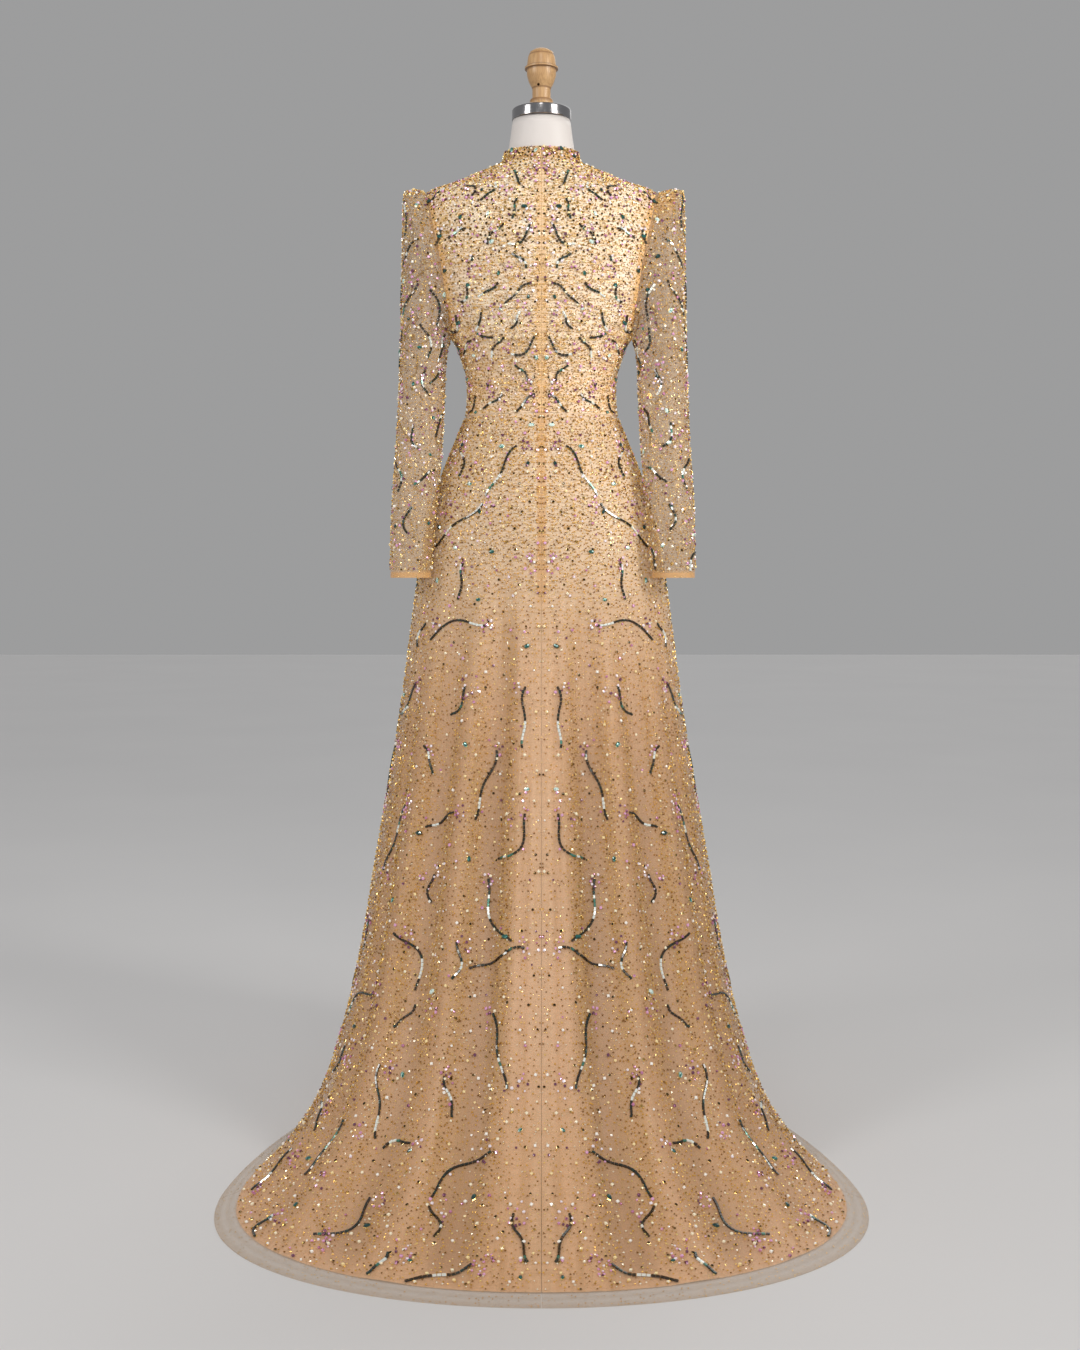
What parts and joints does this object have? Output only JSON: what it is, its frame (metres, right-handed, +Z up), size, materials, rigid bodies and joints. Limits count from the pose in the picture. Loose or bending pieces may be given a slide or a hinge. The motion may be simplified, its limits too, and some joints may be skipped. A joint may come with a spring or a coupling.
{
  "type": "evening gown on a dress form",
  "caption": "Long-sleeved floor-length gown with a small stand collar, fitted waist and round train, filled out on a limbless dress form with a pole and a round foot.",
  "frame": {"origin": "on the floor, at the middle of the dress form's foot", "axes": "+Z up; the gown's front faces -Y and its train runs towards +Y; the wearer's left is +X"},
  "size_m": [0.9022, 0.962, 1.7363],
  "materials": {
    "beaded_cloth": "sheer tulle with seed beads and sequins over a satin lining",
    "tulle": "sheer beaded tulle",
    "lining": "soft satin",
    "zip_tape": "woven tape with a coil",
    "form_cover": "smooth stretched cover",
    "bright_metal": "polished",
    "turned_wood": "turned and waxed",
    "painted_metal": "satin enamel"
  },
  "bodies": {
    "root": {"bodice_front": "beaded_cloth", "bodice_back_left": "beaded_cloth", "bodice_back_right": "beaded_cloth", "collar": "beaded_cloth", "sleeve_left": "tulle", "sleeve_right": "tulle", "overlay_front": "tulle", "overlay_back_left": "tulle", "overlay_back_right": "tulle", "lining_front": "lining", "lining_back_left": "lining", "lining_back_right": "lining", "zip": "zip_tape", "form_torso": "form_cover", "neck_cap": "bright_metal", "finial": "turned_wood", "pole": "painted_metal", "base": "painted_metal"}
  },
  "joints": []
}
